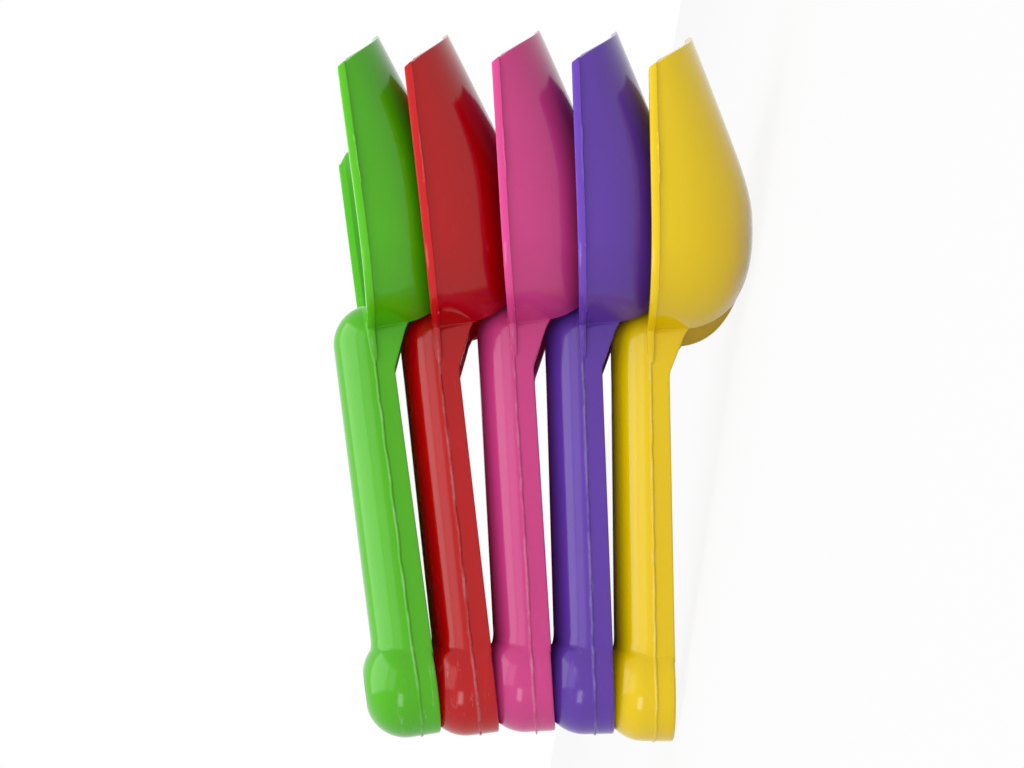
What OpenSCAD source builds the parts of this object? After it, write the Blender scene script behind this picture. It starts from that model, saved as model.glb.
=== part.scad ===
// Five moulded sand shovels nested into one another, belly down, with their scoops open upward.
// X runs from the hanging end of the handles to the tips of the blades, Y runs across, Z is up.
// Every shovel is one thin-walled moulding: scoop, rim flange, channel handle, gussets and hanging knob.

/* [Whole shovel] */
// Length of one shovel, from the hanging end to the tip of the blade
shovel_length = 190; // [165:1:220]
// Wall of the moulding
wall = 1.6; // [1.2:0.1:2.2]

/* [Scoop] */
// Width across the rim of the scoop
blade_width = 70; // [60:1:84]
// Width across the two corners at the mouth
mouth_width = 68; // [58:1:82]
// How far the blade's point runs out past its two corners
tip_reach = 23; // [12:1:30]
// Depth of the belly below the rim
belly_depth = 28.6; // [25:0.1:36]
// Depth of the trough at the blade's point
tip_depth = 12.4; // [9:0.1:18]
// Length of the heel's curve, from the upright heel to the deepest place
heel_run = 29.2; // [25:0.1:36]
// Height of the heel's upright part under the rim
heel_drop = 8; // [5:0.5:12]
// Radius of the turn from the belly to the blade's straight bottom
belly_turn = 10; // [4:1:20]
// Height of the flange round the rim
flange_h = 2; // [1:0.1:3]
// How far the flange stands out from the wall
flange_out = 0.7; // [0.3:0.1:1.2]

/* [Handle] */
// Distance from the hanging end to the centre of the back's round end
nose_x = 102.8; // [90:0.1:110]
// How fast the round end widens on its way down, so that one nests in the next
nose_draft = 0.14; // [0.1:0.01:0.2]
// Distance from the hanging end to the heel of the scoop
heel_x = 105; // [90:1:118]
// Width of the channel handle
handle_width = 21.4; // [17:0.1:25]
// Height of the handle's back above the rim plane
back_h = 9; // [6:0.5:12]
// How far the handle's side walls reach below the rim plane
side_drop = 5.8; // [4:0.1:8]
// How far the gussets reach below the rim plane at the heel
gusset_drop = 11.2; // [9:0.1:14]
// Length of the gussets along the handle
gusset_run = 9.6; // [6:0.1:16]
// Length of the flange's tails along the handle's sides
tail_run = 8; // [4:0.5:12]

/* [Hanging knob] */
// Outer radius of the knob
knob_r = 13.2; // [12:0.1:15]
// Height of the knob's top above the rim plane
knob_top = 12.2; // [10.5:0.1:15]
// How far the knob's skirt reaches below the rim plane
skirt_drop = 5.6; // [5:0.1:8]
// Wall of the knob
knob_wall = 1.3; // [1:0.1:2]
// Radius of the knob's round shoulder
knob_round = 10.5; // [8:0.1:10.8]
// Radius of the hanging hole
hang_hole_r = 5; // [3.5:0.1:5.4]

/* [Nest] */
// How deep each knob's shoulder sits in the skirt of the knob above it
nest_depth = 2.6; // [2:0.1:5]
// Smallest gap between one shovel's knob and the next
nest_gap = 0.3; // [0.1:0.05:0.6]

/* [Hidden] */

half_blade = blade_width / 2;
half_mouth = mouth_width / 2;
half_handle = handle_width / 2;
// The heel's flat face stands a little wider than the handle that runs into it
heel_ledge = 0.3;
half_heel = half_handle + heel_ledge;
heel_corner = half_blade - half_heel;
corner_x = heel_x + heel_corner;
belly_x = heel_x + heel_run;
mouth_x = shovel_length - tip_reach;
overrun = 1;

// Shape numbers of the scoop, without units
heel_power = 2.3;
side_power = 2.3;
// Where the spade's edge leaves the flange, as a share of its reach
flange_share = 0.07;
heel_rows = 9;
front_rows = 9;
side_steps = 8;
// Half width of the scoop's flat bottom, as shares of the heel's
belly_flat_share = 0.45;
tip_flat_share = 0.25;

// Fraction of the way from a to b, kept between 0 and 1 and eased at both ends
function ease(a, b, x) = let (t = min(1, max(0, (x - a) / (b - a)))) t * t * (3 - 2 * t);
function mix(a, b, t) = a + (b - a) * t;

// Half width of the rim at x, drawn in by inset for the inner surface
function rim_half(x, inset) =
    x < corner_x
        ? half_heel + sqrt(max(0, pow(heel_corner - inset, 2) - pow(corner_x - x, 2)))
        : mix(half_blade, half_mouth, ease(corner_x, mouth_x, x)) - inset;
// Half width of the flat bottom at x
function flat_half(x) =
    x < belly_x
        ? mix(half_heel, half_heel * belly_flat_share, ease(heel_x, belly_x, x))
        : mix(half_heel * belly_flat_share, half_heel * tip_flat_share, ease(belly_x, mouth_x, x));
// Depth of the blade in front of the belly: straight, with a round turn where it leaves the belly
front_rise = (belly_depth - tip_depth)
    / (sqrt(pow(shovel_length - belly_x, 2) + pow(belly_turn, 2)) - belly_turn);
function front_depth(x) = belly_depth - front_rise * (sqrt(pow(x - belly_x, 2) + pow(belly_turn, 2)) - belly_turn);
// The blade's point, as a spade's: the column at side angle a runs this far
function column_x(a) = mouth_x + tip_reach * mix(flange_share, 1, a / 90);

// One point of a cross-section: side angle a is 0 at the rim and 90 where the flat bottom starts
function side_point(x, depth, top, inset, a) = let (
        flat = min(flat_half(x), rim_half(x, inset)),
        y = flat + (rim_half(x, inset) - flat) * pow(cos(a), 2 / side_power),
        z = -top - (depth - top) * pow(sin(a), 2 / side_power)
    ) [x, y, z];
// The flange's outer corner beside the rim point at x, square to the rim seen from above
function flange_point(x, z) = let (
        turn = x < corner_x ? (corner_x - x) / heel_corner : 0
    ) [x - flange_out * turn, rim_half(x, 0) + flange_out * sqrt(max(0, 1 - turn * turn)), z];

// Heel rows follow a rounded curve from the upright heel (th = 0) to the deepest place (th = 90)
function heel_row_x(th, inset) = belly_x - (heel_run - inset) * pow(cos(th), 2 / heel_power);
function heel_row_depth(th, inset) =
    heel_drop + (belly_depth - heel_drop - inset) * pow(sin(th), 2 / heel_power);
side_angles = [for (i = [0:side_steps]) 90 * i / side_steps];

// Half of a heel row, from the rim down to the middle; lip adds the flange on the outer surface
function heel_half_row(th, inset, lip) = let (
        x = heel_row_x(th, inset),
        depth = heel_row_depth(th, inset)
    ) concat(
        lip ? [flange_point(x, 0), flange_point(x, -flange_h)] : [],
        [for (a = side_angles) side_point(x, depth, lip ? flange_h : 0, inset, a)],
        [[x, 0, -depth]]
    );
// Half of a front row: every column runs from the deepest place to its own end on the blade's point
function front_half_row(t, inset, lip) = let (
        middle_x = mix(belly_x, column_x(90), t)
    ) concat(
        lip ? [for (share = [0, 1]) flange_point(mix(belly_x, mix(mouth_x, column_x(0), share), t), -flange_h * share)] : [],
        [for (a = side_angles) let (x = mix(belly_x, column_x(a), t))
            side_point(x, front_depth(x) - inset, lip ? flange_h : 0, inset, a)],
        [[middle_x, 0, -(front_depth(middle_x) - inset)]]
    );

function mirrored(half) = let (n = len(half))
    concat([for (p = half) [p[0], -p[1], p[2]]], [for (i = [n - 2:-1:0]) half[i]]);
function surface_rows(inset, lip) = concat(
    [for (i = [0:heel_rows]) mirrored(heel_half_row(90 * i / heel_rows, inset, lip))],
    [for (i = [1:front_rows]) mirrored(front_half_row(i / front_rows, inset, lip))]
);

module scoop() {
    outer = surface_rows(0, true);
    inner = surface_rows(wall, false);
    rows = len(outer);
    no = len(outer[0]);
    ni = len(inner[0]);
    base = rows * no;
    points = concat([for (r = outer) each r], [for (r = inner) each r]);
    faces = concat(
        [for (r = [0:rows - 2]) for (c = [0:no - 2]) each let (p = r * no + c)
            [[p, p + 1, p + no + 1], [p, p + no + 1, p + no]]],
        [for (r = [0:rows - 2]) for (c = [0:ni - 2]) each let (p = base + r * ni + c)
            [[p, p + ni + 1, p + 1], [p, p + ni, p + ni + 1]]],
        // rim, left and right
        [for (r = [0:rows - 2]) each let (p = r * no, q = base + r * ni)
            [[p, p + no, q + ni], [p, q + ni, q]]],
        [for (r = [0:rows - 2]) each let (p = r * no + no - 1, q = base + r * ni + ni - 1)
            [[p, q + ni, p + no], [p, q, q + ni]]],
        // the upright heel, outside and inside, and the rim over it
        heel_end(0, no, false),
        heel_end(base, ni, true),
        [[0, base + ni - 1, no - 1], [0, base, base + ni - 1]],
        // the blade's edge at the mouth
        mouth_edge((rows - 1) * no, no, base + (rows - 1) * ni, ni)
    );
    polyhedron(points = points, faces = flipped(faces, true), convexity = 8);
}
function flipped(faces, flip) = flip ? [for (f = faces) [f[0], f[2], f[1]]] : faces;
// The closed end of a surface: panels from side to side, down to the flat bottom
function heel_end(start, n, flip) = let (
        m = (n - 1) / 2,
        left = [for (i = [0:m]) start + i],
        right = [for (i = [0:m]) start + n - 1 - i]
    ) flipped(concat(
        [for (c = [0:m - 3]) each [[left[c], right[c], right[c + 1]], [left[c], right[c + 1], left[c + 1]]]],
        [[left[m - 2], right[m - 2], left[m]], [left[m - 2], left[m], left[m - 1]],
         [right[m - 2], right[m - 1], left[m]]]
    ), flip);
function mouth_edge(a, na, b, nb) = let (lip = (na - nb) / 2) concat(
    [for (c = [0:lip - 1]) [a + c, a + c + 1, b]],
    [for (c = [0:nb - 2]) each [[a + lip + c, b + c + 1, b + c], [a + lip + c, a + lip + c + 1, b + c + 1]]],
    [for (c = [0:lip - 1]) [a + na - 1 - c, b + nb - 1, a + na - 2 - c]]
);

// Handle: a channel with a half-round back, trimmed to its side view, with a round nose over the heel
back_z = back_h - half_handle;
// Radius of the round end on the rim plane
nose_r = half_handle - wall / 2;
// Heel curve in the middle of the wall, seen from the side
heel_middle = [for (th = [0:5:90]) [heel_row_x(th, wall / 2), -heel_row_depth(th, wall / 2)]];

module channel_outline(r, depth) {
    translate([0, back_z]) circle(r = r, $fn = 64);
    translate([-r, -depth]) square([2 * r, depth + back_z]);
}
// Lays an outline drawn across the handle along X, between two places
module along(from_x, to_x) {
    translate([from_x, 0, 0]) rotate([90, 0, 90]) linear_extrude(height = to_x - from_x) children();
}
module handle_side_view() {
    polygon([
        [knob_r, -side_drop],
        [heel_x - gusset_run, -side_drop],
        [heel_x + wall / 2, -gusset_drop],
        [heel_x + wall / 2, back_h + overrun],
        [knob_r, back_h + overrun]
    ]);
}
module handle_body() {
    intersection() {
        along(knob_r, heel_x + wall / 2) channel_outline(half_handle, gusset_drop + overrun);
        rotate([90, 0, 0])
            linear_extrude(height = blade_width, center = true) handle_side_view();
    }
    intersection() {
        nose(0, -belly_depth);
        rotate([90, 0, 0]) linear_extrude(height = blade_width, center = true)
            polygon(concat([[heel_x, back_h]], heel_middle, [[belly_x, back_h]]));
    }
}
// The back's round end runs down the inside of the heel and widens as it goes.
// Inset by the wall, the same shape is the hollow under it, open at the heel.
module nose(inset, low_z) {
    intersection() {
        union() {
            translate([nose_x, 0, back_z]) sphere(r = half_handle - inset, $fn = 64);
            translate([nose_x, 0, low_z]) cylinder(r = blade_width, h = back_z - low_z);
        }
        translate([nose_x, 0, low_z]) cylinder(
            r1 = nose_r - nose_draft * low_z - inset,
            r2 = nose_r - nose_draft * back_h - inset,
            h = back_h - low_z, $fn = 64
        );
    }
}
module handle_core() {
    along(knob_r, nose_x) channel_outline(half_handle - wall, gusset_drop + 2 * overrun);
    nose(wall, -belly_depth - overrun);
}
// Tapered ends of the rim flange along the handle's sides
module flange_tails() {
    for (side = [-1, 1]) translate([0, side * (half_handle - wall / 2), 0]) rotate([90, 0, 0])
        linear_extrude(height = wall + 2 * flange_out, center = true)
            polygon([[heel_x + wall / 2, 0], [heel_x - tail_run, 0], [heel_x, -flange_h], [heel_x + wall / 2, -flange_h]]);
}

// Hanging knob: a skirt with a round shoulder and a hole through its top
module knob_outline(r, top, round_r) {
    shoulder_z = top - round_r;
    difference() {
        union() {
            translate([r - round_r, shoulder_z]) circle(r = round_r, $fn = 64);
            square([r - round_r, top]);
            translate([0, -skirt_drop]) square([r, skirt_drop + shoulder_z]);
        }
        translate([-2 * r, -2 * r]) square([2 * r, 4 * r]);
        translate([0, -skirt_drop - 2 * r]) square([2 * r, 2 * r]);
    }
}
module knob_body() {
    translate([knob_r, 0, 0])
        rotate_extrude($fn = 96) knob_outline(knob_r, knob_top, knob_round);
}
module knob_core() {
    translate([knob_r, 0, 0]) {
        rotate_extrude($fn = 96)
            knob_outline(knob_r - knob_wall, knob_top - knob_wall, knob_round - knob_wall);
        translate([0, 0, -skirt_drop - overrun]) cylinder(r = knob_r - knob_wall, h = skirt_drop + overrun, $fn = 96);
        cylinder(r = hang_hole_r, h = knob_top + overrun, $fn = 64);
    }
}

module shovel() {
    difference() {
        union() {
            scoop();
            handle_body();
            knob_body();
            flange_tails();
        }
        handle_core();
        knob_core();
    }
}

// The nest. The lowest shovel lies on its belly and on the end of its skirt.
belly_touch = [for (th = [45:90]) atan((heel_row_depth(th, 0) - skirt_drop) / heel_row_x(th, 0))];
rest_lean = max(belly_touch);
// Turns of the five shovels against the lowest, in degrees, from the bottom up: tip up, and near side down
leans = [0, 1.6, 3.5, 7.1, 8.7];
rolls = [0, 0, 0, 4.4, 8.9];
// Each knob is free to slide along its neighbour by the play between shoulder and skirt
nest_pitch = knob_top + skirt_drop - nest_depth;
seated_r = knob_r - knob_round + sqrt(pow(knob_round, 2) - pow(knob_round - nest_depth, 2));
knob_play = knob_r - knob_wall - seated_r - nest_gap;
slide_shares = [0, 0.92, 0.6, 0.3, 0.86];
sway_shares = [0, 0, 0, -0.1, -0.1];

function tilt(i, v) = let (
        a = rolls[i],
        b = -rest_lean - leans[i],
        w = [v[0], v[1] * cos(a) - v[2] * sin(a), v[1] * sin(a) + v[2] * cos(a)]
    ) [w[0] * cos(b) + w[2] * sin(b), w[1], w[2] * cos(b) - w[0] * sin(b)];
// Centre of each knob on the rim plane, stacked from the lowest knob up
function knob_place(i) = i == 0
    ? [0, 0, knob_r * sin(rest_lean) + skirt_drop * cos(rest_lean)]
    : let (step = [slide_shares[i] * knob_play, sway_shares[i] * knob_play, nest_pitch])
        knob_place(i - 1) + (tilt(i - 1, step) + tilt(i, step)) / 2;
// The nest is centred along X between the lowest shovel's tip and the highest shovel's knob
last = len(leans) - 1;
front_x = knob_place(0)[0] + tilt(0, [shovel_length - knob_r, 0, -tip_depth])[0];
top_lean = rest_lean + leans[last];
rear_x = knob_place(last)[0] - (knob_r - knob_round) * cos(top_lean)
    - (knob_top - knob_round) * sin(top_lean) - knob_round;

module nested(i) {
    translate(knob_place(i) - [(front_x + rear_x) / 2, 0, 0])
        rotate([rolls[i], -rest_lean - leans[i], 0])
            translate([-knob_r, 0, 0]) shovel();
}
module yellow_shovel() { color([0.87, 0.72, 0]) nested(0); }
module purple_shovel() { color([0.42, 0.28, 0.66]) nested(1); }
module pink_shovel() { color([0.78, 0.29, 0.52]) nested(2); }
module red_shovel() { color([0.69, 0.06, 0.08]) nested(3); }
module green_shovel() { color([0.33, 0.71, 0.16]) nested(4); }

yellow_shovel();
purple_shovel();
pink_shovel();
red_shovel();
green_shovel();
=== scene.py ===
# Five nested sand shovels in glossy moulded plastic, seen along the blades' edges.
# Shapes are worked out in millimetres in one shovel's own frame, then laid into the nest in metres.
import math

import bmesh
import bpy
from mathutils import Matrix, Vector


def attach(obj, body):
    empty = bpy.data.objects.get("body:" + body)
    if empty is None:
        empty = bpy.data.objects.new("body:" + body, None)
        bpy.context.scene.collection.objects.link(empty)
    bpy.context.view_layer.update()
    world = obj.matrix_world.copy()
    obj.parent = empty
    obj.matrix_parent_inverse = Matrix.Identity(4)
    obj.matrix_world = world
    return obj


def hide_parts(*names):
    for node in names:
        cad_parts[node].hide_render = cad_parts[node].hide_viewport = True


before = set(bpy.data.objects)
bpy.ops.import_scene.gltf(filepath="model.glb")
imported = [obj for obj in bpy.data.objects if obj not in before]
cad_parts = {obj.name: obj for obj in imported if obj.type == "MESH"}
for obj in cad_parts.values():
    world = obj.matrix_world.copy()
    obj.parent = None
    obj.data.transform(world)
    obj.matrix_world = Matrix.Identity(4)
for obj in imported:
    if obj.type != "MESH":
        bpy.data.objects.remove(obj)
scene = bpy.context.scene
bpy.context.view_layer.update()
print("frame loaded")

mm = 0.001

nest = {
    "restLean": 10.1428,
    "knobCentre": 13.2,
    # edges sharper than this, in degrees, aren't shaded smooth
    "sharpFrom": 40,
    # body, lean and roll in degrees, knob centre in mm
    "shovels": [
        ("yellow_shovel", 0.0, 0.0, (-76.4192, 0.0, 7.83702)),
        ("purple_shovel", 1.6, 0.0, (-77.5129, 0.0, 23.1055)),
        ("pink_shovel", 3.5, 0.0, (-79.6915, 0.0, 38.1935)),
        ("red_shovel", 7.1, 4.4, (-83.1548, -0.781108, 52.9672)),
        ("green_shovel", 8.7, 8.9, (-86.1971, -2.73682, 67.8168)),
    ],
}


def placeOf(index):
    _, lean, roll, centre = nest["shovels"][index]
    turn = Matrix.Rotation(math.radians(-nest["restLean"] - lean), 4, "Y")
    turn = turn @ Matrix.Rotation(math.radians(roll), 4, "X")
    fromKnob = Matrix.Translation(Vector((-nest["knobCentre"] * mm, 0, 0)))
    return Matrix.Translation(Vector(centre) * mm) @ turn @ fromKnob


def meshFrom(name, points, faces):
    mesh = bpy.data.meshes.new(name)
    mesh.from_pydata([Vector(p) * mm for p in points], [], faces)
    mesh.validate()
    mesh.update()
    piece = bpy.data.objects.new(name, mesh)
    scene.collection.objects.link(piece)
    return piece


def gridFaces(rows, columns, start=0, flip=False):
    faces = []
    for r in range(rows - 1):
        for c in range(columns - 1):
            p = start + r * columns + c
            quad = (p, p + 1, p + columns + 1, p + columns)
            faces.append(quad[::-1] if flip else quad)
    return faces


def merged(piece, distance=0.01, sliver=0.001):
    bm = bmesh.new()
    bm.from_mesh(piece.data)
    bmesh.ops.remove_doubles(bm, verts=bm.verts, dist=distance * mm)
    bmesh.ops.dissolve_degenerate(bm, edges=bm.edges, dist=sliver * mm)
    bmesh.ops.recalc_face_normals(bm, faces=bm.faces)
    bm.to_mesh(piece.data)
    bm.free()
    return piece


def plain(piece):
    # the evaluated shape as a plain mesh, with its modifiers gone
    graph = bpy.context.evaluated_depsgraph_get()
    shown = piece.evaluated_get(graph)
    mesh = bpy.data.meshes.new_from_object(shown, preserve_all_data_layers=True, depsgraph=graph)
    old = piece.data
    piece.modifiers.clear()
    piece.data = mesh
    bpy.data.meshes.remove(old)
    return piece


def bevelled(piece, width, angle=50, segments=2):
    bevel = piece.modifiers.new("edges", "BEVEL")
    bevel.width = width * mm
    bevel.segments = segments
    bevel.limit_method = "ANGLE"
    bevel.angle_limit = math.radians(angle)
    return plain(piece)


def joined(name, parts):
    bm = bmesh.new()
    for part in parts:
        bm.from_mesh(part.data)
    mesh = bpy.data.meshes.new(name)
    bm.to_mesh(mesh)
    bm.free()
    for part in parts:
        bpy.data.objects.remove(part)
    piece = bpy.data.objects.new(name, mesh)
    scene.collection.objects.link(piece)
    return piece


bowl = {
    "length": 190.0,
    "wall": 1.6,
    "halfBlade": 35.0,
    "halfMouth": 34.0,
    "tipReach": 22.8,
    "bellyDepth": 28.6,
    "tipDepth": 12.4,
    "heelX": 105.0,
    "heelRun": 29.2,
    "heelDrop": 8.0,
    "bellyTurn": 10.0,
    "halfHeel": 11.0,
    "flangeHeight": 2.0,
    "flangeOut": 0.7,
    "flangeShare": 0.07,
    "pointPower": 1.174,
    "pointGain": 1.1,
    "pointTop": 0.845,
    "pointSoft": 0.06,
    "edgeDraft": 0.9,
    "heelPower": 2.3,
    "sidePower": 2.3,
    "tipPower": 1.79,
    "heelCornerPower": 1.8,
    # the heel's corners are rounded behind softX, deeper than softDepth and outside softOut
    "softRounds": 30,
    "softX": 119.0,
    "softDepth": 2.99,
    "softOut": 11.2,
    "rimEdge": 0.3,
    "bellyFlat": 0.45,
    "tipFlat": 0.25,
    "heelRows": 34,
    "frontRows": 34,
    "sideColumns": 26,
    "flatColumns": 5,
}
heelCorner = bowl["halfBlade"] - bowl["halfHeel"]
cornerX = bowl["heelX"] + heelCorner
bellyX = bowl["heelX"] + bowl["heelRun"]
mouthX = bowl["length"] - bowl["tipReach"]


def ease(a, b, x):
    t = min(1.0, max(0.0, (x - a) / (b - a)))
    return t * t * (3 - 2 * t)


def mix(a, b, t):
    return a + (b - a) * t


def rimHalf(x, inset):
    if x < cornerX:
        return bowl["halfHeel"] + math.sqrt(max(0.0, (heelCorner - inset) ** 2 - (cornerX - x) ** 2))
    return mix(bowl["halfBlade"], bowl["halfMouth"], ease(cornerX, mouthX, x)) - inset


def flatHalf(x):
    heel, belly, tip = bowl["halfHeel"], bowl["halfHeel"] * bowl["bellyFlat"], bowl["halfHeel"] * bowl["tipFlat"]
    if x < bellyX:
        return mix(heel, belly, ease(bowl["heelX"], bellyX, x))
    return mix(belly, tip, ease(bellyX, mouthX, x))


def frontDepth(x):
    turn = bowl["bellyTurn"]
    rise = (bowl["bellyDepth"] - bowl["tipDepth"]) / (math.hypot(bowl["length"] - bellyX, turn) - turn)
    return bowl["bellyDepth"] - rise * (math.hypot(x - bellyX, turn) - turn)


def columnEnd(angle):
    # the point is a blunt spade's: each column of the blade runs on to its own end
    rise = bowl["pointGain"] * (angle / (math.pi / 2)) ** bowl["pointPower"]
    top, soft = bowl["pointTop"], bowl["pointSoft"]
    rise = min(rise, top) - max(0.0, soft - abs(rise - top)) ** 2 / (4 * soft)
    return mouthX + bowl["tipReach"] * mix(bowl["flangeShare"], 1, rise)


def sidePoint(x, depth, top, inset, angle, power=bowl["sidePower"]):
    flat = min(flatHalf(x), rimHalf(x, inset))
    c = max(0.0, math.cos(angle)) ** (2 / power)
    s = max(0.0, math.sin(angle)) ** (2 / power)
    return (x, flat + (rimHalf(x, inset) - flat) * c, -top - (depth - top) * s)


def heelRow(th, inset):
    power = 2 / bowl["heelPower"]
    x = bellyX - (bowl["heelRun"] - inset) * max(0.0, math.cos(th)) ** power
    depth = bowl["heelDrop"] + (bowl["bellyDepth"] - bowl["heelDrop"] - inset) * max(0.0, math.sin(th)) ** power
    return x, depth


def flangeLip(x):
    # the flange's own section, from the inner wall's top edge round to the outer wall
    turn = (cornerX - x) / heelCorner if x < cornerX else 0.0
    out, high = bowl["flangeOut"], bowl["flangeHeight"]
    section = (
        (out - 0.25, 0.0),
        (out - 0.07, -0.07),
        (out, -0.25),
        (out, 0.25 - high),
        (out - 0.08, 0.06 - high),
        (out - 0.3, -high),
        (0.12, -high - 0.05),
    )
    points = []
    for o, z in section:
        points.append((x - o * turn, rimHalf(x, 0) + o * math.sqrt(max(0.0, 1 - turn * turn)), z))
    return points


sideAngles = [math.pi / 2 * i / bowl["sideColumns"] for i in range(bowl["sideColumns"] + 1)]
rimTop = bowl["flangeHeight"] + bowl["rimEdge"]


def flatPart(edge):
    # the flat bottom, from its edge to the middle
    return [(edge[0], edge[1] * (1 - i / bowl["flatColumns"]), edge[2]) for i in range(1, bowl["flatColumns"] + 1)]


def heelHalf(th, inset, lip):
    x, depth = heelRow(th, inset)
    power = mix(bowl["heelCornerPower"], bowl["sidePower"], ease(0, math.pi / 3, th))
    row = [sidePoint(x, depth, rimTop if lip else 0.0, inset, angle, power) for angle in sideAngles]
    return (flangeLip(x) if lip else []) + row + flatPart(row[-1])


def frontHalf(t, inset, lip):
    row = []
    if lip:
        for i, (_, _, z) in enumerate(flangeLip(bellyX)):
            end = mix(mouthX, columnEnd(0), min(1.0, -z / bowl["flangeHeight"]))
            row.append(flangeLip(mix(bellyX, end, t))[i])
    power = mix(bowl["sidePower"], bowl["tipPower"], t * t)
    for angle in sideAngles:
        # the mouth's edge is drafted, so the inner wall ends a little lower
        end = columnEnd(angle) - (0.0 if lip else bowl["edgeDraft"] * angle / (math.pi / 2))
        x = mix(bellyX, end, t)
        point = sidePoint(x, frontDepth(x) - inset, rimTop if lip else 0.0, inset, angle, power)
        if point[2] > -bowl["flangeHeight"]:
            # beside the flange the inner wall ends with it
            x = mix(bellyX, mix(mouthX, end, -point[2] / bowl["flangeHeight"]), t)
            point = sidePoint(x, frontDepth(x) - inset, 0.0, inset, angle, power)
        row.append(point)
    return row + flatPart(row[-1])


def fullRow(half):
    return [(x, -y, z) for x, y, z in half] + [half[i] for i in range(len(half) - 2, -1, -1)]


def scoopSurface(inset, lip):
    rows = [fullRow(heelHalf(math.pi / 2 * i / bowl["heelRows"], inset, lip)) for i in range(bowl["heelRows"] + 1)]
    return rows + [fullRow(frontHalf(i / bowl["frontRows"], inset, lip)) for i in range(1, bowl["frontRows"] + 1)]


def softenHeel(scoop):
    # rounds the corners where the upright heel turns into the bowl's sides, in metres as the mesh is
    bm = bmesh.new()
    bm.from_mesh(scoop.data)
    frontX, lowZ, outY = bowl["softX"] * mm, -bowl["softDepth"] * mm, bowl["softOut"] * mm
    corner = [v for v in bm.verts if v.co.x < frontX and v.co.z < lowZ and abs(v.co.y) > outY]
    for _ in range(bowl["softRounds"]):
        bmesh.ops.smooth_vert(bm, verts=corner, factor=0.5, use_axis_x=True, use_axis_y=True, use_axis_z=True)
    bm.to_mesh(scoop.data)
    bm.free()


def makeScoop():
    outer, inner = scoopSurface(0, True), scoopSurface(bowl["wall"], False)
    rows, no, ni = len(outer), len(outer[0]), len(inner[0])
    base = rows * no
    points = [p for row in outer for p in row] + [p for row in inner for p in row]
    faces = gridFaces(rows, no) + gridFaces(rows, ni, base, flip=True)
    for r in range(rows - 1):
        p, q = r * no, base + r * ni
        faces += [(p, p + no, q + ni, q)]
        p, q = p + no - 1, q + ni - 1
        faces += [(p, q, q + ni, p + no)]
    # the upright heel, outside and inside, with the rim between them
    faces.append(tuple(range(no)))
    faces.append(tuple(base + i for i in range(ni - 1, -1, -1)))
    faces.append((0, base, base + ni - 1, no - 1))
    # the blade's edge at the mouth
    a, b, lip = (rows - 1) * no, base + (rows - 1) * ni, (no - ni) // 2
    faces.append(tuple([a + i for i in range(lip + 1)] + [b]))
    faces.append(tuple([b + ni - 1] + [a + no - 1 - i for i in range(lip + 1)]))
    for c in range(ni - 1):
        faces.append((a + lip + c, a + lip + c + 1, b + c + 1, b + c))
    scoop = merged(meshFrom("scoop", points, faces))
    softenHeel(scoop)
    scoop = bevelled(scoop, 0.3, angle=55)
    # the hollow under the back's round end opens through the heel
    cutter = makeNoseCutter()
    cut = scoop.modifiers.new("hollow", "BOOLEAN")
    cut.operation = "DIFFERENCE"
    cut.object = cutter
    cut.solver = "EXACT"
    scoop = plain(scoop)
    bpy.data.objects.remove(cutter)
    return scoop


seamSizes = {
    "height": -0.8,
    "beadRadius": 0.36,
    "waviness": 0.48,
    "burrSize": 0.34,
    "burrSpacing": 3.4,
    "rimBead": 0.10,
    "rimBurrs": 9.0,
    "rimBurrShare": 0.8,
    "fullWaveBead": 0.2,
    "knobSteps": 96,
    # the gate's rough mark on the near side of the rim
    "gateFrom": 136.0,
    "gateTo": 149.0,
    "gateSteps": 12,
    "gateBead": 0.2,
    "gateBurr": 0.42,
    "gateSpacing": 1.5,
}
grip = {
    "half": 10.7,
    "backHeight": 9.0,
    "sideDrop": 5.8,
    "gussetDrop": 11.2,
    "gussetRun": 9.6,
    "noseX": 102.8,
    "draft": 0.14,
    "wall": 1.5,
    "bend": 26,
    "upright": 8,
    "underDraft": 0.045,
    "filletRun": 3.2,
    "filletOut": 0.6,
    "lengthRows": 80,
    "noseColumns": 40,
    # where the handle leaves the knob, how its rows crowd there, and where its drafted underside ends
    "startX": 24.0,
    "rowPower": 1.25,
    "draftFrom": 80.0,
    "draftTo": 98.0,
    "noseBulge": 1.4,
    "heelLap": 0.4,
}
backZ = grip["backHeight"] - grip["half"]
cap = {
    "radius": 13.2,
    "top": 12.2,
    "skirt": 5.6,
    "wall": 1.3,
    "lip": 0.6,
    "round": 10.5,
    "hole": 5.0,
    "soft": 0.3,
    "steps": 144,
    "domeSteps": 28,
    "sideSteps": 8,
    "lipSteps": 4,
    "innerSteps": 18,
}


def knobRadius(z, inset):
    shoulder = cap["top"] - cap["round"]
    if z <= shoulder:
        return cap["radius"] - inset
    r = cap["round"] - inset
    return cap["radius"] - cap["round"] + math.sqrt(max(0.0, r * r - (z - shoulder) ** 2))


def lowEdge(x):
    t = (x - (bowl["heelX"] - grip["gussetRun"])) / (grip["gussetRun"] + bowl["wall"] / 2)
    return -mix(grip["sideDrop"], grip["gussetDrop"], min(1.0, max(0.0, t)))


def heelZ(x):
    # the heel's curve in the middle of its wall
    run = bowl["heelRun"] - bowl["wall"] / 2
    c = min(1.0, max(0.0, (bellyX - x) / run)) ** (bowl["heelPower"] / 2)
    s = math.sqrt(max(0.0, 1 - c * c))
    deep = bowl["bellyDepth"] - bowl["heelDrop"] - bowl["wall"] / 2
    return -(bowl["heelDrop"] + deep * s ** (2 / bowl["heelPower"]))


def noseRadius(z, share):
    return grip["half"] + grip["draft"] * share * max(0.0, backZ - z)


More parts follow.
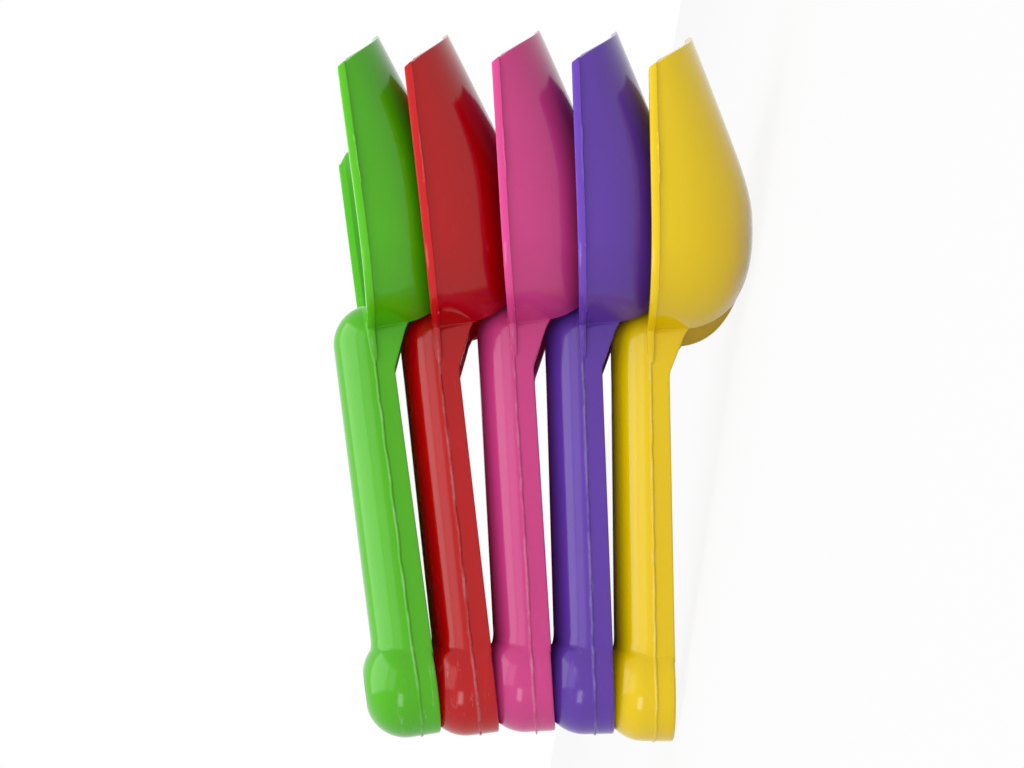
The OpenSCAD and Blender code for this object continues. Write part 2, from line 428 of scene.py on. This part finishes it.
def handleProfile(side, low):
    # from the lower edge of one side up to the middle of the back
    points = [(side * grip["half"], mix(low, backZ, i / grip["upright"])) for i in range(grip["upright"])]
    for i in range(grip["bend"] + 1):
        a = math.pi / 2 * i / grip["bend"]
        points.append((side * grip["half"] * math.cos(a), backZ + grip["half"] * math.sin(a)))
    return points


def makeHandle():
    points = []
    rows = grip["lengthRows"]
    columns = 0
    for r in range(rows + 1):
        t = r / rows
        row = []
        low = lowEdge(mix(grip["startX"], grip["noseX"], t))
        left = handleProfile(-1, low)
        right = handleProfile(1, low)[:-1][::-1]
        for y, z in left + right:
            reach = knobRadius(z, cap["wall"] / 2)
            start = cap["radius"] + math.sqrt(max(0.0, reach * reach - y * y))
            x = mix(start, grip["noseX"], t ** grip["rowPower"])
            fade = 1 - ease(grip["draftFrom"], grip["draftTo"], x)
            y -= math.copysign(grip["underDraft"] * max(0.0, seamSizes["height"] - z) * fade, y)
            swell = grip["filletOut"] * max(0.0, 1 - (x - start) / grip["filletRun"]) ** 2
            r = math.hypot(y, max(0.0, z - backZ))
            row.append((x, y * (1 + swell / r) if r else y, z + (swell * (z - backZ) / r if z > backZ else 0)))
        columns = len(row)
        points += row
    faces = gridFaces(rows + 1, columns)
    # round end over the heel, from one side round the front to the other
    start = len(points)
    perHalf = grip["upright"] + grip["bend"] + 1
    for c in range(grip["noseColumns"] + 1):
        phi = math.pi * (c / grip["noseColumns"] - 0.5)
        share = max(0.0, math.cos(phi)) ** 0.5
        reach = grip["noseX"] + (grip["half"] + grip["noseBulge"] * share) * math.cos(phi)
        low = lowEdge(reach)
        if reach > bowl["heelX"] + grip["heelLap"]:
            low = min(low, heelZ(reach))
        for i in range(perHalf):
            if i < grip["upright"]:
                z = mix(low, backZ, i / grip["upright"])
                r = noseRadius(z, share)
            else:
                a = math.pi / 2 * (i - grip["upright"]) / grip["bend"]
                r, z = grip["half"] * math.cos(a), backZ + grip["half"] * math.sin(a)
            points.append((grip["noseX"] + r * math.cos(phi), r * math.sin(phi), z))
    faces += gridFaces(grip["noseColumns"] + 1, perHalf, start)
    handle = merged(meshFrom("handle", points, faces), 0.02)
    thick = handle.modifiers.new("wall", "SOLIDIFY")
    thick.thickness = grip["wall"] * mm
    thick.offset = -1
    thick.use_even_offset = True
    handle = plain(handle)
    return bevelled(handle, 0.35, angle=60)


hollow = {
    "steps": 48,
    "sideRings": 10,
    "domeRings": 8,
    "below": 2.0,
    "setBack": 0.4,
}


def makeNoseCutter():
    # the space inside the round end, from under the belly up to the back
    points, steps, low = [], hollow["steps"], -bowl["bellyDepth"] - hollow["below"]
    centre, inside = grip["noseX"] - hollow["setBack"], grip["half"] - grip["wall"] / 2
    heights = [low + (backZ - low) * i / hollow["sideRings"] for i in range(hollow["sideRings"] + 1)]
    for z in heights:
        for c in range(steps):
            phi = 2 * math.pi * c / steps
            share = max(0.0, math.cos(phi)) ** 0.5
            r = noseRadius(z, share) - grip["wall"] / 2
            points.append((centre + r * math.cos(phi), r * math.sin(phi), z))
    for i in range(1, hollow["domeRings"]):
        a = math.pi / 2 * i / hollow["domeRings"]
        r = inside * math.cos(a)
        for c in range(steps):
            phi = 2 * math.pi * c / steps
            points.append((centre + r * math.cos(phi), r * math.sin(phi), backZ + inside * math.sin(a)))
    rings = len(points) // steps
    faces = []
    for r in range(rings - 1):
        for c in range(steps):
            d = (c + 1) % steps
            faces.append((r * steps + c, r * steps + d, (r + 1) * steps + d, (r + 1) * steps + c))
    faces.append(tuple(range(steps))[::-1])
    faces.append(tuple((rings - 1) * steps + c for c in range(steps)))
    return merged(meshFrom("noseCutter", points, faces))


tail = {
    "from": 106.0,
    "to": 95.5,
    "rows": 16,
    "fadePower": 2.2,
    "inside": -0.5,
    "overWall": 0.25,
    "bend": 0.25,
    # its thin end
    "endHeight": 0.7,
    "endOut": 0.15,
    "endTop": -0.7,
}


def makeTails():
    # the rim flange runs out along the handle's sides
    parts = []
    for side in (-1, 1):
        points = []
        for r in range(tail["rows"] + 1):
            t = r / tail["rows"]
            fade = math.sqrt(max(0.0, 1 - t ** tail["fadePower"]))
            x = mix(tail["from"], tail["to"], t)
            high = mix(tail["endHeight"], bowl["flangeHeight"], fade)
            out = mix(tail["endOut"], bowl["flangeOut"] + tail["overWall"], fade)
            top = mix(tail["endTop"], 0.0, fade)
            bend = tail["bend"] * fade
            section = [
                (tail["inside"], top),
                (out - bend, top),
                (out - bend * 0.3, top - bend * 0.3),
                (out, top - bend),
                (out, top - high + bend),
                (out - bend * 0.3, top - high + bend * 0.3),
                (out - bend, top - high),
                (tail["inside"], top - high),
            ]
            points += [(x, side * (grip["half"] + o), z) for o, z in section]
        n = len(section)
        faces = []
        for r in range(tail["rows"]):
            for c in range(n):
                d = (c + 1) % n
                faces.append((r * n + c, r * n + d, (r + 1) * n + d, (r + 1) * n + c))
        faces.append(tuple(range(n)))
        faces.append(tuple(tail["rows"] * n + c for c in range(n)))
        parts.append(merged(meshFrom("flangeTail", points, faces)))
    return parts


class Tree:
    # a short way to write a node tree: node(type, settings, inputs) returns the new node
    def __init__(self, tree):
        self.tree = tree

    def node(self, kind, settings=None, inputs=None):
        made = self.tree.nodes.new(kind)
        for key, value in (settings or {}).items():
            if key == "stops":
                ramp = made.color_ramp
                while len(ramp.elements) < len(value):
                    ramp.elements.new(0.5)
                for element, (position, colour) in zip(ramp.elements, value):
                    element.position = position
                    element.color = colour
            else:
                setattr(made, key, value)
        for key, value in (inputs or {}).items():
            socket = made.inputs[key]
            if isinstance(value, Wire):
                value = value.socket
            if isinstance(value, bpy.types.NodeSocket):
                self.tree.links.new(value, socket)
            else:
                socket.default_value = value
        return made


class Wire:
    # one output socket with the usual operators: each adds its Math node
    def __init__(self, tree, socket):
        self.tree, self.socket = tree, socket

    def math(self, operation, other=None):
        inputs = {0: self} if other is None else {0: self, 1: other}
        made = self.tree.node("ShaderNodeMath", {"operation": operation}, inputs)
        return Wire(self.tree, made.outputs[0])

    def __add__(self, other):
        return self.math("ADD", other)

    __radd__ = __add__

    def __sub__(self, other):
        return self.math("SUBTRACT", other)

    def __rsub__(self, other):
        made = self.tree.node("ShaderNodeMath", {"operation": "SUBTRACT"}, {0: other, 1: self})
        return Wire(self.tree, made.outputs[0])

    def __mul__(self, other):
        return self.math("MULTIPLY", other)

    __rmul__ = __mul__

    def clamped(self):
        return self.math("MAXIMUM", 0.0).math("MINIMUM", 1.0)

    def between(self, low, high):
        # 0 below low and 1 above high, eased between them
        made = self.tree.node("ShaderNodeMapRange", {"interpolation_type": "SMOOTHSTEP"}, {0: self, 1: low, 2: high})
        return Wire(self.tree, made.outputs[0])


def socketKey(tree, name):
    for item in tree.interface.items_tree:
        if item.item_type == "SOCKET" and item.in_out == "INPUT" and item.name == name:
            return item.identifier


def geometryTree(name, sizes):
    tree = bpy.data.node_groups.new(name, "GeometryNodeTree")
    tree.interface.new_socket("Geometry", in_out="INPUT", socket_type="NodeSocketGeometry")
    kinds = {int: "NodeSocketInt", float: "NodeSocketFloat", type(None): "NodeSocketMaterial"}
    for key, value in sizes.items():
        tree.interface.new_socket(key, in_out="INPUT", socket_type=kinds[type(value)])
    tree.interface.new_socket("Geometry", in_out="OUTPUT", socket_type="NodeSocketGeometry")
    return tree, Tree(tree)


def grown(piece, tree, values):
    modifier = piece.modifiers.new("shape", "NODES")
    modifier.node_group = tree
    for key, value in values.items():
        modifier[socketKey(tree, key)] = value
    return plain(piece)


def painted(t, geometry, start, end):
    # the tree's last nodes: real meshes, in the material that the modifier names
    real = t.node("GeometryNodeRealizeInstances", None, {"Geometry": geometry})
    inputs = {"Geometry": real.outputs[0], "Material": start.outputs["Material"]}
    paint = t.node("GeometryNodeSetMaterial", None, inputs)
    t.tree.links.new(paint.outputs[0], end.inputs[0])


def knobTree():
    # turns the section round the knob's axis
    tree, t = geometryTree("turnedKnob", {"Radius": 0.0, "Steps": 1, "Material": None})
    start, end = t.node("NodeGroupInput"), t.node("NodeGroupOutput")
    path = t.node(
        "GeometryNodeCurvePrimitiveCircle",
        {"mode": "RADIUS"},
        {"Resolution": start.outputs["Steps"], "Radius": start.outputs["Radius"]},
    )
    section = t.node("GeometryNodeMeshToCurve", None, {"Mesh": start.outputs["Geometry"]})
    turned = t.node(
        "GeometryNodeCurveToMesh",
        None,
        {"Curve": path.outputs[0], "Profile Curve": section.outputs[0], "Fill Caps": False},
    )
    painted(t, turned.outputs[0], start, end)
    return tree


def domeZ(r, inset):
    # height of the dome at distance r from the knob's axis
    away = r - (cap["radius"] - cap["round"])
    return cap["top"] - cap["round"] + math.sqrt(max(0.0, (cap["round"] - inset) ** 2 - away ** 2))


def knobSection():
    # closed section as (distance from the knob's axis, height)
    hole, soft, low, shoulder = cap["hole"], cap["soft"], -cap["skirt"], cap["top"] - cap["round"]
    middle, inner, innerRound = cap["radius"] - cap["round"], cap["radius"] - cap["wall"], cap["round"] - cap["wall"]
    points = [
        (hole, domeZ(hole, 0) - soft),
        (hole + soft * 0.3, domeZ(hole, 0) - soft * 0.3),
        (hole + soft, domeZ(hole + soft, 0)),
    ]
    first = math.acos((hole + soft - middle) / cap["round"])
    for i in range(1, cap["domeSteps"] + 1):
        a = first * (1 - i / cap["domeSteps"])
        points.append((middle + cap["round"] * math.cos(a), shoulder + cap["round"] * math.sin(a)))
    for i in range(1, cap["sideSteps"] + 1):
        points.append((cap["radius"], mix(shoulder, low + cap["lip"], i / cap["sideSteps"])))
    for i in range(1, cap["lipSteps"] + 1):
        a = math.pi / 2 * i / cap["lipSteps"]
        points.append((cap["radius"] - cap["lip"] * (1 - math.cos(a)), low + cap["lip"] * (1 - math.sin(a))))
    points += [(inner + soft, low), (inner, low + soft), (inner, shoulder)]
    last = math.acos((hole + soft - middle) / innerRound)
    for i in range(1, cap["innerSteps"] + 1):
        a = last * i / cap["innerSteps"]
        points.append((middle + innerRound * math.cos(a), shoulder + innerRound * math.sin(a)))
    points.append((hole, domeZ(hole, cap["wall"]) + soft * 0.6))
    return points


def makeKnob(material):
    section = knobSection()
    n = len(section)
    mesh = bpy.data.meshes.new("knobSection")
    points = [Vector((r - cap["radius"], z, 0)) * mm for r, z in section]
    mesh.from_pydata(points, [(i, (i + 1) % n) for i in range(n)], [])
    knob = bpy.data.objects.new("knob", mesh)
    scene.collection.objects.link(knob)
    knob = grown(knob, knobTree(), {"Radius": cap["radius"] * mm, "Steps": cap["steps"], "Material": material})
    # the dome, which is the taller side, has to end up on top
    zs = [v.co.z for v in knob.data.vertices]
    if max(zs) < -min(zs):
        knob.data.transform(Matrix.Diagonal((1, 1, -1, 1)))
    knob.data.transform(Matrix.Translation((cap["radius"] * mm, 0, 0)))
    return merged(knob, 0.002)


flashShape = {
    # metres, as node trees are
    "step": 0.0009,
    "waveScale": 170.0,
    "thickScale": 420.0,
    # how much of the thickness noise thins and thickens the bead, and by how much
    "thickRange": (0.38, 0.66),
    "thinnest": 0.25,
    "thicker": 1.5,
    # share of places with a burr, and its size along, across and up
    "burrShare": 0.42,
    "burrSmallest": (0.7, 0.4, 0.45),
    "burrLargest": (3.0, 0.8, 1.0),
}


def seamTree():
    # a thin wavy bead along the parting line with small burrs on it
    sizes = {"Bead Radius": 0.0, "Waviness": 0.0, "Burr Size": 0.0, "Burr Spacing": 0.0, "Seed": 1, "Material": None}
    tree, t = geometryTree("partingLine", sizes)
    start, end = t.node("NodeGroupInput"), t.node("NodeGroupOutput")
    seed = start.outputs["Seed"]
    spot = t.node("GeometryNodeInputPosition")

    def noise(shift, scale, detail):
        inputs = {"Vector": spot.outputs[0], "W": Wire(t, seed) * shift, "Scale": scale, "Detail": detail}
        return Wire(t, t.node("ShaderNodeTexNoise", {"noise_dimensions": "4D"}, inputs).outputs[0])

    line = t.node("GeometryNodeMeshToCurve", None, {"Mesh": start.outputs["Geometry"]})
    steps = {"Curve": line.outputs[0], "Length": flashShape["step"]}
    fine = t.node("GeometryNodeResampleCurve", {"mode": "LENGTH"}, steps)
    lift = (noise(3.7, flashShape["waveScale"], 3.0) - 0.5) * Wire(t, start.outputs["Waviness"]) * 2.0
    shift = t.node("ShaderNodeCombineXYZ", None, {"X": 0.0, "Y": 0.0, "Z": lift})
    moved = t.node("GeometryNodeSetPosition", None, {"Geometry": fine.outputs[0], "Offset": shift.outputs[0]})
    thick = noise(1.9, flashShape["thickScale"], 1.0).between(*flashShape["thickRange"])
    scale = thick * flashShape["thicker"] + flashShape["thinnest"]
    circle = {"Resolution": 8, "Radius": start.outputs["Bead Radius"]}
    ring = t.node("GeometryNodeCurvePrimitiveCircle", {"mode": "RADIUS"}, circle)
    sized = t.node("GeometryNodeSetCurveRadius", None, {"Curve": moved.outputs[0], "Radius": scale})
    sweep = {"Curve": sized.outputs[0], "Profile Curve": ring.outputs[0], "Fill Caps": True}
    bead = t.node("GeometryNodeCurveToMesh", None, sweep)
    spacing = {"Curve": moved.outputs[0], "Length": start.outputs["Burr Spacing"]}
    spots = t.node("GeometryNodeCurveToPoints", {"mode": "LENGTH"}, spacing)
    chance = {"Probability": flashShape["burrShare"], "Seed": seed}
    pick = t.node("FunctionNodeRandomValue", {"data_type": "BOOLEAN"}, chance)
    blob = t.node("GeometryNodeMeshIcoSphere", None, {"Radius": start.outputs["Burr Size"], "Subdivisions": 3})
    span = {0: flashShape["burrSmallest"], 1: flashShape["burrLargest"], "Seed": seed}
    size = t.node("FunctionNodeRandomValue", {"data_type": "FLOAT_VECTOR"}, span)
    grow = {
        "Points": spots.outputs[0],
        "Selection": pick.outputs[3],
        "Instance": blob.outputs[0],
        "Scale": size.outputs[0],
    }
    burrs = t.node("GeometryNodeInstanceOnPoints", None, grow)
    both = t.node("GeometryNodeJoinGeometry")
    t.tree.links.new(bead.outputs[0], both.inputs[0])
    t.tree.links.new(burrs.outputs[0], both.inputs[0])
    painted(t, both.outputs[0], start, end)
    return tree


seamNodes = seamTree()


def seamPath():
    # up one side of the handle, round the knob and down the other side
    z, steps = seamSizes["height"], seamSizes["knobSteps"]
    path = [(x, -grip["half"], z) for x in range(104, 22, -2)]
    begin = math.asin(grip["half"] / cap["radius"])
    for i in range(steps + 1):
        a = -begin - (2 * math.pi - 2 * begin) * i / steps
        path.append((cap["radius"] + cap["radius"] * math.cos(a), cap["radius"] * math.sin(a), z))
    path += [(x, grip["half"], z) for x in range(24, 106, 2)]
    return path


def rimPath(side):
    # the lower corner of the flange, from the heel to the mouth
    path = []
    for i in range(0, bowl["heelRows"] + 1, 2):
        path.append(flangeLip(heelRow(math.pi / 2 * i / bowl["heelRows"], 0)[0])[4])
    for i in range(2, bowl["frontRows"] - 1, 2):
        path.append(flangeLip(mix(bellyX, columnEnd(0), i / bowl["frontRows"]))[4])
    return [(x, side * y, z) for x, y, z in path]


def gatePath():
    # along the near side's flange
    steps = seamSizes["gateSteps"]
    xs = [mix(seamSizes["gateFrom"], seamSizes["gateTo"], i / steps) for i in range(steps + 1)]
    return [(x, -y, z) for x, y, z in (flangeLip(x)[4] for x in xs)]


def flash(path, material, seed, bead, burr, spacing):
    mesh = bpy.data.meshes.new("flashPath")
    mesh.from_pydata([Vector(p) * mm for p in path], [(i, i + 1) for i in range(len(path) - 1)], [])
    line = bpy.data.objects.new("flash", mesh)
    scene.collection.objects.link(line)
    values = {
        "Bead Radius": bead * mm,
        "Waviness": seamSizes["waviness"] * mm * min(1.0, bead / seamSizes["fullWaveBead"]),
        "Burr Size": burr * mm,
        "Burr Spacing": spacing * mm,
        "Seed": seed,
        "Material": material,
    }
    return grown(line, seamNodes, values)


def makeSeam(material, seed):
    s = seamSizes
    lines = [flash(seamPath(), material, seed, s["beadRadius"], s["burrSize"], s["burrSpacing"])]
    for side in (-1, 1):
        burr = s["burrSize"] * s["rimBurrShare"]
        lines.append(flash(rimPath(side), material, seed + 10 + side, s["rimBead"], burr, s["rimBurrs"]))
    lines.append(flash(gatePath(), material, seed + 20, s["gateBead"], s["gateBurr"], s["gateSpacing"]))
    return lines


plastics = {
    # colour and deep, the darker pigment, are linear; scuff is how worn the knob is
    "yellow_shovel": {"colour": (0.85, 0.60, 0.0), "deep": (0.75, 0.50, 0.0), "scuff": 0.25, "seed": 5},
    "purple_shovel": {"colour": (0.122, 0.042, 0.41), "deep": (0.085, 0.028, 0.28), "scuff": 0.3, "seed": 11},
    "pink_shovel": {"colour": (0.62, 0.05, 0.24), "deep": (0.46, 0.026, 0.15), "scuff": 0.3, "seed": 17},
    "red_shovel": {"colour": (0.51, 0.0, 0.002), "deep": (0.36, 0.0, 0.001), "scuff": 0.8, "seed": 23},
    "green_shovel": {"colour": (0.082, 0.46, 0.002), "deep": (0.04, 0.33, 0.002), "scuff": 0.9, "seed": 31},
}


finish = {
    # places are in metres, in the shovel's own frame
    "knobEnds": (0.022, 0.034),
    "handleWear": 0.15,
    "lineEnds": (0.1, 0.108),
    "lineEdge": (0.00015, 0.0006),
    "lineWobble": 0.0012,
    # where and how much the flange is painted brighter, as painted light
    "flangeLow": (-0.0023, -0.0018),
    "flangeHigh": (0.0002, 0.0008),
    "flangeStart": (0.1, 0.112),
    "paintedFlangeGain": 1.35,
    "brightest": 0.95,
    "pigment": 0.35,
    "mottle": 0.06,
    "wornShare": 0.6,
    "edgeRadius": 0.0004,
    "bumpDistance": 0.0006,
    "bumpStrength": 0.35,
    "indexOfRefraction": 1.49,
    "specular": 0.38,
}


def plasticOf(name, index):
    look = plastics[name]
    material = bpy.data.materials.new(name.replace("_shovel", "_plastic_gloss"))
    material.use_nodes = True
    material.node_tree.nodes.clear()
    t = Tree(material.node_tree)
    out = t.node("ShaderNodeOutputMaterial")
    coords = t.node("ShaderNodeTexCoord")
    place = placeOf(index)
    turned = {"Vector": coords.outputs["Object"], "Location": place.translation, "Rotation": place.to_euler("XYZ")}
    here = t.node("ShaderNodeMapping", {"vector_type": "TEXTURE"}, turned).outputs[0]
    parts = t.node("ShaderNodeSeparateXYZ", None, {0: here})
    x, y, z = (Wire(t, s) for s in parts.outputs)

    def noise(scale, detail=2.0, stretch=None, w=0.0, rough=0.5):
        vector = here
        if stretch:
            vector = t.node("ShaderNodeVectorMath", {"operation": "MULTIPLY"}, {0: here, 1: stretch}).outputs[0]
        inputs = {"Vector": vector, "W": look["seed"] + w, "Scale": scale, "Detail": detail, "Roughness": rough}
        return Wire(t, t.node("ShaderNodeTexNoise", {"noise_dimensions": "4D"}, inputs).outputs[0])

    def blend(share, below, above):
        return t.node("ShaderNodeMix", {"data_type": "RGBA"}, {0: share, 6: below, 7: above}).outputs[2]

    # slow drift of pigment along the flow from the gate, and fine mottling
    flow = noise(22.0, 3.0, (0.45, 1.0, 1.0)).between(0.35, 0.7)
    mottle = noise(900.0, 2.0, w=3.0).between(0.3, 0.7)
    drift = flow * finish["pigment"] + mottle * finish["mottle"]
    colour = blend(drift, (*look["colour"], 1), (*look["deep"], 1))
    # rubbed marks: thin pale scratches, most of them on the knob
    knobWear = (1 - x.between(*finish["knobEnds"])) * (1 - finish["handleWear"]) + finish["handleWear"]
    streak = noise(210.0, 4.0, (0.5, 1.0, 3.0), w=7.0, rough=0.7).between(0.56, 0.68)
    scratch = noise(520.0, 3.0, (0.2, 1.0, 2.2), w=9.0, rough=0.65).between(0.6, 0.68)
    patch = noise(85.0, 3.0, w=13.0).between(0.46, 0.64)
    # the parting line is rubbed pale in places
    wobble = (noise(240.0, 3.0, w=17.0) - 0.5) * finish["lineWobble"]
    offLine = (z + wobble - seamSizes["height"] * mm).math("ABSOLUTE")
    inPlaces = noise(150.0, 3.0, w=19.0).between(0.4, 0.6)
    line = (1 - offLine.between(*finish["lineEdge"])) * inPlaces * (1 - x.between(*finish["lineEnds"]))
    worn = ((streak * 0.5 + scratch * 0.8) * patch * knobWear * look["scuff"] + line * 0.5).clamped()
    pale = [min(1.0, c * 0.7 + 0.25) for c in look["colour"]]
    # painted light: the thin flange is painted brighter than the bowl, standing in for light shining through it and
    # falling on its face
    paintedFlangeLightMask = z.between(*finish["flangeLow"]) * (1 - z.between(*finish["flangeHigh"])) * x.between(*finish["flangeStart"])
    gain = min(finish["paintedFlangeGain"], finish["brightest"] / max(look["colour"]))
    paintedFlangeColour = [c * gain + 0.004 for c in look["colour"]]
    withPaintedFlangeLight = blend(paintedFlangeLightMask, colour, (*paintedFlangeColour, 1))
    rubbed = blend(worn * finish["wornShare"], withPaintedFlangeLight, (*pale, 1))
    roughness = 0.09 + noise(35.0, 2.0, w=21.0) * 0.08 + mottle * 0.02 + worn * 0.3
    ripple = noise(75.0, 1.0, (0.5, 1.0, 1.0), w=27.0)
    grain = noise(2600.0, 1.0, w=31.0)
    height = ripple * 0.55 + grain * 0.012 - worn * 0.05 + scratch * knobWear * 0.02
    edges = t.node("ShaderNodeBevel", {"samples": 4}, {"Radius": finish["edgeRadius"]})
    relief = {
        "Strength": finish["bumpStrength"],
        "Distance": finish["bumpDistance"],
        "Height": height,
        "Normal": edges.outputs[0],
    }
    bump = t.node("ShaderNodeBump", None, relief)
    surface = {
        "Base Color": rubbed,
        "Roughness": roughness,
        "Normal": bump.outputs[0],
        "IOR": finish["indexOfRefraction"],
        "Specular IOR Level": finish["specular"],
    }
    shader = t.node("ShaderNodeBsdfPrincipled", None, surface)
    t.tree.links.new(shader.outputs[0], out.inputs[0])
    return material


form = joined("shovelForm", [makeScoop(), makeHandle(), makeKnob(None)] + makeTails())
print("shovel form:", len(form.data.vertices), "points")
for index, (name, _, _, _) in enumerate(nest["shovels"]):
    material = plasticOf(name, index)
    seam = makeSeam(material, index + 1)
    body = bpy.data.objects.new("form", form.data.copy())
    scene.collection.objects.link(body)
    shovel = joined(name.replace("_shovel", "_moulding"), [body] + seam)
    shovel.data.materials.clear()
    shovel.data.materials.append(material)
    for face in shovel.data.polygons:
        face.material_index = 0
        face.use_smooth = True
    shovel.data.set_sharp_from_angle(angle=math.radians(nest["sharpFrom"]))
    shovel.data.transform(placeOf(index))
    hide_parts(name)
    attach(shovel, name)
    print(name, "placed:", len(shovel.data.polygons), "faces")
bpy.data.objects.remove(form)

view = {
    # place in mm; the picture's right and up as directions
    "place": (-70.979, -352.351, 32.926),
    "right": (0.179565, 0.032689, -0.983203),
    "up": (0.966241, -0.193567, 0.170031),
    "focalPixels": 1340.0,
    "imageWidth": 1024,
}
right, up = Vector(view["right"]), Vector(view["up"])
back = right.cross(up)
cameraData = bpy.data.cameras.new("camera")
cameraData.sensor_width = 36.0
cameraData.lens = view["focalPixels"] / view["imageWidth"] * 36.0
cameraData.clip_start = 0.01
camera = bpy.data.objects.new("camera", cameraData)
aim = Matrix((right, up, back)).transposed().to_4x4()
camera.matrix_world = Matrix.Translation(Vector(view["place"]) * mm) @ aim
scene.collection.objects.link(camera)
scene.camera = camera

stage = {
    "floorSize": 6.0,
    # how much of the floor seen is real paper, which holds the shadow, and the paper's grey
    "floorShadow": 0.09,
    "paper": 0.64,
    "worldLight": 0.55,
}


def seenDirectly(t):
    # 1 for what the camera sees, also in gloss and through glass, and 0 for light that falls on things
    path = t.node("ShaderNodeLightPath")
    kinds = [Wire(t, path.outputs[kind]) for kind in ("Is Camera Ray", "Is Glossy Ray", "Is Transmission Ray")]
    return (kinds[0] + kinds[1] + kinds[2]).clamped()


def whiteStage():
    material = bpy.data.materials.new("white_floor")
    material.use_nodes = True
    material.node_tree.nodes.clear()
    t = Tree(material.node_tree)
    out = t.node("ShaderNodeOutputMaterial")
    paper = t.node("ShaderNodeBsdfDiffuse", None, {"Color": (stage["paper"],) * 3 + (1,)})
    glow = t.node("ShaderNodeEmission", None, {"Color": (1, 1, 1, 1), "Strength": 1.0})
    share = seenDirectly(t) * (1 - stage["floorShadow"])
    both = t.node("ShaderNodeMixShader", None, {0: share, 1: paper.outputs[0], 2: glow.outputs[0]})
    t.tree.links.new(both.outputs[0], out.inputs[0])
    return material


floorMesh = bpy.data.meshes.new("floor")
reach = stage["floorSize"] / 2
corners = [(-reach, -reach, 0), (reach, -reach, 0), (reach, reach, 0), (-reach, reach, 0)]
floorMesh.from_pydata(corners, [], [(0, 1, 2, 3)])
floor = bpy.data.objects.new("floor", floorMesh)
scene.collection.objects.link(floor)
floorMesh.materials.append(whiteStage())

world = bpy.data.worlds.new("world")
scene.world = world
world.use_nodes = True
world.node_tree.nodes.clear()
w = Tree(world.node_tree)
strength = seenDirectly(w) * (1 - stage["worldLight"]) + stage["worldLight"]
sky = w.node("ShaderNodeBackground", None, {"Color": (1, 1, 1, 1), "Strength": strength})
w.tree.links.new(sky.outputs[0], w.node("ShaderNodeOutputWorld").inputs[0])

lamps = {
    # place and aim in metres; size is the width along X and the width across
    "softbox": {"place": (-0.01, -0.225, 0.70), "aim": (-0.01, -0.225, 0.0), "size": (0.72, 0.75), "watts": 3.9},
    "softboxSkirt": {"place": (-0.01, -0.74, 0.55), "aim": (-0.01, 0.0, 0.06), "size": (0.72, 0.34), "watts": 1.0},
    "lowFill": {"place": (-0.48, -0.60, 0.10), "aim": (0.0, 0.0, 0.04), "size": (0.36, 0.16), "watts": 0.8},
}
for name, lamp in lamps.items():
    data = bpy.data.lights.new(name, "AREA")
    data.shape = "RECTANGLE"
    data.size, data.size_y = lamp["size"]
    data.energy = lamp["watts"]
    light = bpy.data.objects.new(name, data)
    toward = (Vector(lamp["aim"]) - Vector(lamp["place"])).normalized()
    along = Vector((1, 0, 0))
    across = toward.cross(along).normalized()
    along = across.cross(toward).normalized()
    facing = Matrix((along, across, -toward)).transposed().to_4x4()
    light.matrix_world = Matrix.Translation(Vector(lamp["place"])) @ facing
    scene.collection.objects.link(light)
print("camera and lamps set")

scene.view_settings.view_transform = "Standard"
